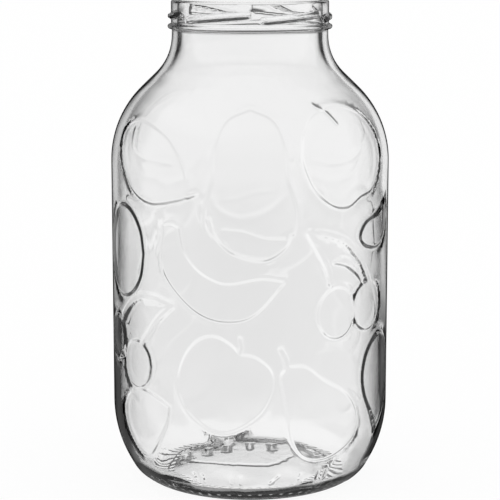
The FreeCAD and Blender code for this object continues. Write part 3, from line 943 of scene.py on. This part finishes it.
    def lug_height(self, azimuth: np.ndarray, height: np.ndarray) -> np.ndarray:
        """Works out how far the slanting lugs stand out of the finish.

        Args:
            azimuth: Degrees from the front.
            height: Heights in mm.

        Returns:
            How far they stand out in mm at each place.
        """
        result = np.zeros(len(azimuth))
        for lug in range(self.lugs):
            along = (azimuth - self.lug_start - 360 * lug / self.lugs) % 360
            share = along / self.lug_arc
            middle = self.total - self.lug_depth + self.lug_rise * share
            run_out = smooth_step((self.lug_arc - along) / self.lug_run_out)
            ends = smooth_step(along / self.lug_lead_in) * run_out
            inside = self.lug_half + self.lug_soft - np.abs(height - middle)
            across = smooth_step(inside / (2 * self.lug_soft))
            result = np.maximum(result, self.lug_proud * ends * across)
        return result

    def shape(self, jar: bpy.types.Object) -> None:
        """Moves the spun skin out into fruit, lugs and knurling, and lets the inside wander a little.

        Args:
            jar: The jar's object.
        """
        mesh, zones = jar.data, self.zones
        flat = np.empty(len(mesh.vertices) * 3)
        mesh.vertices.foreach_get("co", flat)
        coordinates = flat.reshape(-1, 3)
        azimuth, radius, height = self.places(coordinates)
        angle = np.radians(azimuth)
        heights, radii, normals = self.skin()

        skin_radius = np.interp(height, heights, radii)
        on_side = (height > heights[0]) & (height < heights[-1])
        outer = on_side & (radius > skin_radius - self.wall / 2)
        relief = np.zeros(len(radius))
        relief[outer] = self.embossing.relief(azimuth[outer], height[outer])
        outwards = np.interp(height, heights, normals[:, 0])
        upwards = np.interp(height, heights, normals[:, 1])
        radius = np.where(outer, skin_radius + relief * outwards, radius)
        height = np.where(outer, height + relief * upwards, height)

        finish = height > self.total - self.bead_depth + self.bead_round + zones.above_bead
        finish &= radius > self.finish - zones.finish_depth
        radius[finish] += self.lug_height(azimuth[finish], height[finish])
        height = height + self.knurling.raised(azimuth, np.abs(radius - self.ring()), height)

        under = height < self.pushup + zones.above_pushup
        under &= radius < self.ring() - self.bearing - zones.inside_bearing
        plan = np.column_stack([radius * np.sin(angle), -radius * np.cos(angle)])
        press = np.zeros(len(radius))
        for part in BASE_RELIEF:
            level = part.height(plan[under], np.zeros(under.sum()), self.base_edge)
            press[under] = np.maximum(press[under], level)
        height = np.where(under, np.maximum(height - press, 0.0), height)

        inner = ~outer & ~under & (height > zones.inner_height) & (height < self.total - self.bead_depth)
        inner &= radius < np.where(on_side, skin_radius, self.radius) - self.wall / 2
        wander = np.zeros(len(radius))
        for index in np.flatnonzero(inner):
            wander[index] = self.waviness.at(Vector(coordinates[index]), radius[index], height[index])
        flat_floor = inner & (height < zones.floor_height)
        height = np.where(flat_floor, height + wander, height)
        radius = np.where(flat_floor, radius, radius + wander)

        moved = np.column_stack([radius * np.sin(angle), -radius * np.cos(angle), height]) * MM
        mesh.vertices.foreach_set("co", moved.ravel())
        mesh.update()

    def build(self) -> bpy.types.Object:
        """Builds the glass as one closed mesh and gives it its finish.

        Returns:
            The jar's object.
        """
        jar = self.spin()
        self.refine(jar)
        self.shape(jar)
        deselect_all()
        bpy.context.view_layer.objects.active = jar
        jar.select_set(True)
        bpy.ops.object.shade_smooth()
        jar.data.materials.append(SodaLimeGlass().build())
        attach(jar, "root")
        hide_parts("jar")
        LOG.info("%s: %d faces", jar.name, len(jar.data.polygons))
        return jar


# ---------------------------------------------------------------- finishes


@dataclass(frozen=True)
class SodaLimeGlass:
    """Soda-lime container glass, pressed and blown: clear, smooth and faintly grey where it is thick."""

    tint: str = "#fefefe"
    index: float = 1.52
    roughness: float = 0.0
    flow_mm: float = 38.0
    flow_detail: float = 2.0
    flow_roughness: float = 0.4
    wave_strength: float = 0.25
    wave_mm: float = 0.6

    def build(self) -> bpy.types.Material:
        """Builds the material: still glass whose faint flow lines bend what is seen through it.

        Returns:
            The material.
        """
        material = bpy.data.materials.new("soda_lime_container_glass")
        material.use_nodes = True
        tree = material.node_tree
        tree.nodes.clear()
        place = add_node(tree, "ShaderNodeTexCoord", {}, {})
        flow = add_node(
            tree,
            "ShaderNodeTexNoise",
            {
                "Scale": 1 / (self.flow_mm * MM),
                "Detail": self.flow_detail,
                "Roughness": self.flow_roughness,
            },
            {"Vector": place.outputs["Object"]},
        )
        wave = add_node(
            tree,
            "ShaderNodeBump",
            {"Strength": self.wave_strength, "Distance": self.wave_mm * MM},
            {"Height": flow.outputs["Fac"]},
        )
        glass = add_node(
            tree,
            "ShaderNodeBsdfPrincipled",
            {
                "Base Color": srgb(self.tint),
                "Roughness": self.roughness,
                "IOR": self.index,
                "Transmission Weight": 1.0,
            },
            {"Normal": wave.outputs["Normal"]},
        )
        add_node(tree, "ShaderNodeOutputMaterial", {}, {"Surface": glass.outputs["BSDF"]})
        return material


# ---------------------------------------------------------------- the studio


MATH = "ShaderNodeMath"
MAP_RANGE = "ShaderNodeMapRange"
PRODUCT = {"operation": "MULTIPLY"}
LARGER = {"operation": "MAXIMUM"}


@dataclass(frozen=True)
class Fade:
    """A soft change of brightness: low where a value is at its start, high where it is at its end."""

    start: float
    end: float
    low: float = 0.0
    high: float = 1.0

    def settings(self) -> dict:
        """What a Map Range node is set to for the fade, by name."""
        names = ("interpolation_type", "From Min", "From Max", "To Min", "To Max")
        return dict(zip(names, ("SMOOTHSTEP", self.start, self.end, self.low, self.high)))


@dataclass(frozen=True)
class LightBox:
    """A lit panel far behind the jar: where it stands, and how far it is fully lit and then dark.

    The pairs are in degrees, upwards, to the left and to the right. Facing is the cosine of the angle
    from the panel beyond which nothing of it is seen.
    """

    azimuth: float
    high: tuple = (-3.0, 9.0)
    left: tuple = (12.0, 20.0)
    right: tuple = (12.0, 20.0)
    facing: float = 0.2

    def glow(
        self, tree: bpy.types.NodeTree, azimuth: bpy.types.Node, height: bpy.types.NodeSocket
    ) -> bpy.types.Node:
        """Works out the panel's brightness in each direction.

        Args:
            tree: The world's nodes.
            azimuth: The node of the azimuth in radians.
            height: The socket of the height on the unit sphere.

        Returns:
            The brightness's node.
        """
        turn = add_node(tree, MATH, {"operation": "SUBTRACT", 1: math.radians(self.azimuth)}, {0: azimuth})
        aside = add_node(tree, MATH, {"operation": "SINE"}, {0: turn})
        ahead = add_node(tree, MATH, {"operation": "COSINE"}, {0: turn})
        lit = add_node(tree, MATH, {"operation": "GREATER_THAN", 1: self.facing}, {0: ahead})
        for value, full, dark in (
            (aside, self.left[0], self.left[1]),
            (aside, -self.right[0], -self.right[1]),
            (height, self.high[0], self.high[1]),
        ):
            edge = add_node(tree, MAP_RANGE, Fade(sine(dark), sine(full)).settings(), {"Value": value})
            lit = add_node(tree, MATH, PRODUCT, {0: lit, 1: edge})
        return lit


@dataclass(frozen=True)
class Surroundings:
    """What bent light shows: light boxes with dark flags between them, and light above and below."""

    boxes: tuple = (
        *(LightBox(azimuth) for azimuth in (0, 90, 180, 270)),
        *(LightBox(azimuth, (-5, 0), (25, 34), (34, 46)) for azimuth in (0, 90, 180, 270)),
        *(LightBox(azimuth, (-9, -3), (6, 15), (6, 15)) for azimuth in (45, 135, 225, 315)),
    )
    flag: float = 0.05
    lower_part: Fade = Fade(sine(-12.5), sine(-20), 0.87, 1.0)
    upper_part: Fade = Fade(sine(-10), sine(-6), 0.87, 0.98)
    # How often a shade comes round, the wave that it follows, and how dark it is.
    shades: tuple = ((8.0, "COSINE", Fade(0.1, 0.95, 1.0, 0.94)), (4.0, "SINE", Fade(1.0, -0.8, 0.97, 1.0)))
    ceiling: Fade = Fade(sine(28), sine(50), 0.0, 0.9)
    pit: Fade = Fade(sine(-23), sine(-36), 0.0, 0.9)

    def brightness(self, tree: bpy.types.NodeTree, direction: bpy.types.NodeSocket) -> bpy.types.Node:
        """Works out the brightness in each direction.

        Args:
            tree: The world's nodes.
            direction: The direction's socket.

        Returns:
            The brightness's node.
        """
        parts = add_node(tree, "ShaderNodeSeparateXYZ", {}, {"Vector": direction})
        height = parts.outputs["Z"]
        left = add_node(tree, MATH, {**PRODUCT, 1: -1.0}, {0: parts.outputs["X"]})
        azimuth = add_node(tree, MATH, {"operation": "ARCTAN2"}, {0: left, 1: parts.outputs["Y"]})
        lower = add_node(tree, MAP_RANGE, self.lower_part.settings(), {"Value": height})
        upper = add_node(tree, MAP_RANGE, self.upper_part.settings(), {"Value": height})
        level = add_node(tree, MATH, LARGER, {0: lower, 1: upper})
        for times, wave, depth in self.shades:
            around = add_node(tree, MATH, {**PRODUCT, 1: times}, {0: azimuth})
            wavy = add_node(tree, MATH, {"operation": wave}, {0: around})
            shade = add_node(tree, MAP_RANGE, depth.settings(), {"Value": wavy})
            level = add_node(tree, MATH, PRODUCT, {0: level, 1: shade})
        above = add_node(tree, MAP_RANGE, self.ceiling.settings(), {"Value": height})
        below = add_node(tree, MAP_RANGE, self.pit.settings(), {"Value": height})
        total = add_node(tree, MATH, LARGER, {0: above, 1: below})
        total = add_node(tree, MATH, {**LARGER, 1: self.flag}, {0: total})
        for box in self.boxes:
            lit = add_node(tree, MATH, PRODUCT, {0: box.glow(tree, azimuth, height), 1: level})
            total = add_node(tree, MATH, LARGER, {0: lit, 1: total})
        return total


@dataclass(frozen=True)
class Room:
    """What the glass mirrors: a dim room with pale posts behind the jar, plain in front of it."""

    posts: float = 8.0
    # Degrees aside from straight behind the jar.
    first_post: float = 28.5
    post: Fade = Fade(-0.3, 0.55, 0.02, 1.0)
    middle: Fade = Fade(math.radians(12), math.radians(7))
    middle_height: Fade = Fade(0.0, 0.1)
    front: Fade = Fade(0.5, 0.2)
    side: Fade = Fade(-0.5, 0.9, 0.6, 0.9)
    low: Fade = Fade(-0.24, -0.13, 0.1, 1.0)
    ceiling: Fade = Fade(0.1, 0.7, 0.0, 0.9)
    pit: Fade = Fade(-0.32, -0.6, 0.0, 0.3)

    def brightness(self, tree: bpy.types.NodeTree, direction: bpy.types.NodeSocket) -> bpy.types.Node:
        """Works out the brightness in each direction.

        Args:
            tree: The world's nodes.
            direction: The direction's socket.

        Returns:
            The brightness's node.
        """
        parts = add_node(tree, "ShaderNodeSeparateXYZ", {}, {"Vector": direction})
        across, along, height = (parts.outputs[axis] for axis in "XYZ")
        turn = add_node(tree, MATH, {"operation": "ARCTAN2"}, {0: across, 1: along})
        azimuth = add_node(tree, MATH, {"operation": "ABSOLUTE"}, {0: turn})
        first = {"operation": "SUBTRACT", 1: math.radians(self.first_post)}
        turned = add_node(tree, MATH, first, {0: azimuth})
        around = add_node(tree, MATH, {**PRODUCT, 1: self.posts}, {0: turned})
        wave = add_node(tree, MATH, {"operation": "COSINE"}, {0: around})
        middle, middle_height, post, front, side, low, above, below = (
            add_node(tree, MAP_RANGE, fade.settings(), {"Value": value})
            for fade, value in (
                (self.middle, azimuth),
                (self.middle_height, height),
                (self.post, wave),
                (self.front, along),
                (self.side, across),
                (self.low, height),
                (self.ceiling, height),
                (self.pit, height),
            )
        )
        middle = add_node(tree, MATH, PRODUCT, {0: middle, 1: middle_height})
        post = add_node(tree, MATH, LARGER, {0: post, 1: front})
        post = add_node(tree, MATH, LARGER, {0: post, 1: middle})
        low = add_node(tree, MATH, LARGER, {0: low, 1: front})
        wall = add_node(tree, MATH, PRODUCT, {0: side, 1: low})
        wall = add_node(tree, MATH, PRODUCT, {0: wall, 1: post})
        total = add_node(tree, MATH, LARGER, {0: wall, 1: above})
        return add_node(tree, MATH, LARGER, {0: total, 1: below})


@dataclass(frozen=True)
class Studio:
    """A white sweep with light boxes behind the jar and dark flags beside them.

    Straight through the glass the boxes show, and where it bends or mirrors the light the flags do, so
    the glass is drawn by its dark edges.
    """

    surroundings: Surroundings = Surroundings()
    room: Room = Room()
    floor_radius: float = 12.0
    floor_corners: int = 64
    floor_glow: float = 0.92
    camera_place: tuple = (0, -1.105, 0.3315)
    camera_down: float = 9.56
    camera_sensor: float = 36.0
    camera_lens: float = 130.25
    camera_shift: float = -0.0087

    def light(self) -> None:
        """White to the camera and to matt surfaces, and the studio to what the glass bends and mirrors."""
        world = bpy.data.worlds.new("studio")
        bpy.context.scene.world = world
        world.use_nodes = True
        tree = world.node_tree
        tree.nodes.clear()
        place = add_node(tree, "ShaderNodeTexCoord", {}, {})
        path = add_node(tree, "ShaderNodeLightPath", {}, {})
        through = self.surroundings.brightness(tree, place.outputs["Generated"])
        mirrored = self.room.brightness(tree, place.outputs["Generated"])
        once = add_node(tree, MATH, {"operation": "MINIMUM", 1: 1.0}, {0: path.outputs["Glossy Depth"]})
        seen = add_node(tree, "ShaderNodeMix", {}, {"Factor": once, "A": through, "B": mirrored})
        studio = add_node(tree, "ShaderNodeBackground", {"Strength": 1.0}, {"Color": seen})
        plain = add_node(tree, "ShaderNodeBackground", {"Color": srgb("#ffffff"), "Strength": 1.0}, {})
        rays = (path.outputs["Is Transmission Ray"], path.outputs["Is Glossy Ray"])
        bent = add_node(tree, MATH, LARGER, dict(enumerate(rays)))
        mixed = add_node(tree, "ShaderNodeMixShader", {}, {0: bent, 1: plain, 2: studio})
        add_node(tree, "ShaderNodeOutputWorld", {}, {"Surface": mixed})

    def floor(self) -> None:
        """A wide pale floor that keeps a faint shadow and lets the glass show the light boxes."""
        deselect_all()
        bpy.ops.mesh.primitive_circle_add(
            vertices=self.floor_corners, radius=self.floor_radius, fill_type="NGON", location=(0, 0, 0)
        )
        floor = bpy.context.object
        floor.name = "floor"
        # A matt painted sweep: its own glow keeps it near white, and the paint keeps a trace of shadow.
        material = bpy.data.materials.new("matt_white_sweep")
        material.use_nodes = True
        tree = material.node_tree
        tree.nodes.clear()
        path = add_node(tree, "ShaderNodeLightPath", {}, {})
        matt = add_node(tree, "ShaderNodeBsdfDiffuse", {"Color": srgb("#fafafa")}, {})
        lit = add_node(tree, "ShaderNodeEmission", {"Color": srgb("#ffffff"), "Strength": 1.0}, {})
        seen = add_node(tree, "ShaderNodeMixShader", {0: self.floor_glow}, {1: matt, 2: lit})
        clear = add_node(tree, "ShaderNodeBsdfTransparent", {}, {})
        rays = (path.outputs["Is Transmission Ray"], path.outputs["Is Glossy Ray"])
        bent = add_node(tree, MATH, LARGER, dict(enumerate(rays)))
        shown = add_node(tree, "ShaderNodeMixShader", {}, {0: bent, 1: seen, 2: clear})
        add_node(tree, "ShaderNodeOutputMaterial", {}, {"Surface": shown})
        floor.data.materials.append(material)

    def camera(self) -> None:
        """The camera, a little above the jar's shoulder and looking slightly down."""
        deselect_all()
        bpy.ops.object.camera_add(
            location=self.camera_place, rotation=Euler((math.radians(90 - self.camera_down), 0, 0))
        )
        camera = bpy.context.object
        camera.data.sensor_width = self.camera_sensor
        camera.data.lens = self.camera_lens
        camera.data.shift_y = self.camera_shift
        bpy.context.scene.camera = camera

    def build(self) -> None:
        """Sets up the light, the floor and the camera."""
        self.light()
        self.floor()
        self.camera()
        bpy.context.scene.view_settings.view_transform = "Standard"


def main() -> None:
    """Builds the studio and the jar."""
    logging.basicConfig(level=logging.INFO)
    _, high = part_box("jar")
    Studio().build()
    Jar(radius=high.x / MM, total=high.z / MM).build()


if __name__ == "__main__":
    main()
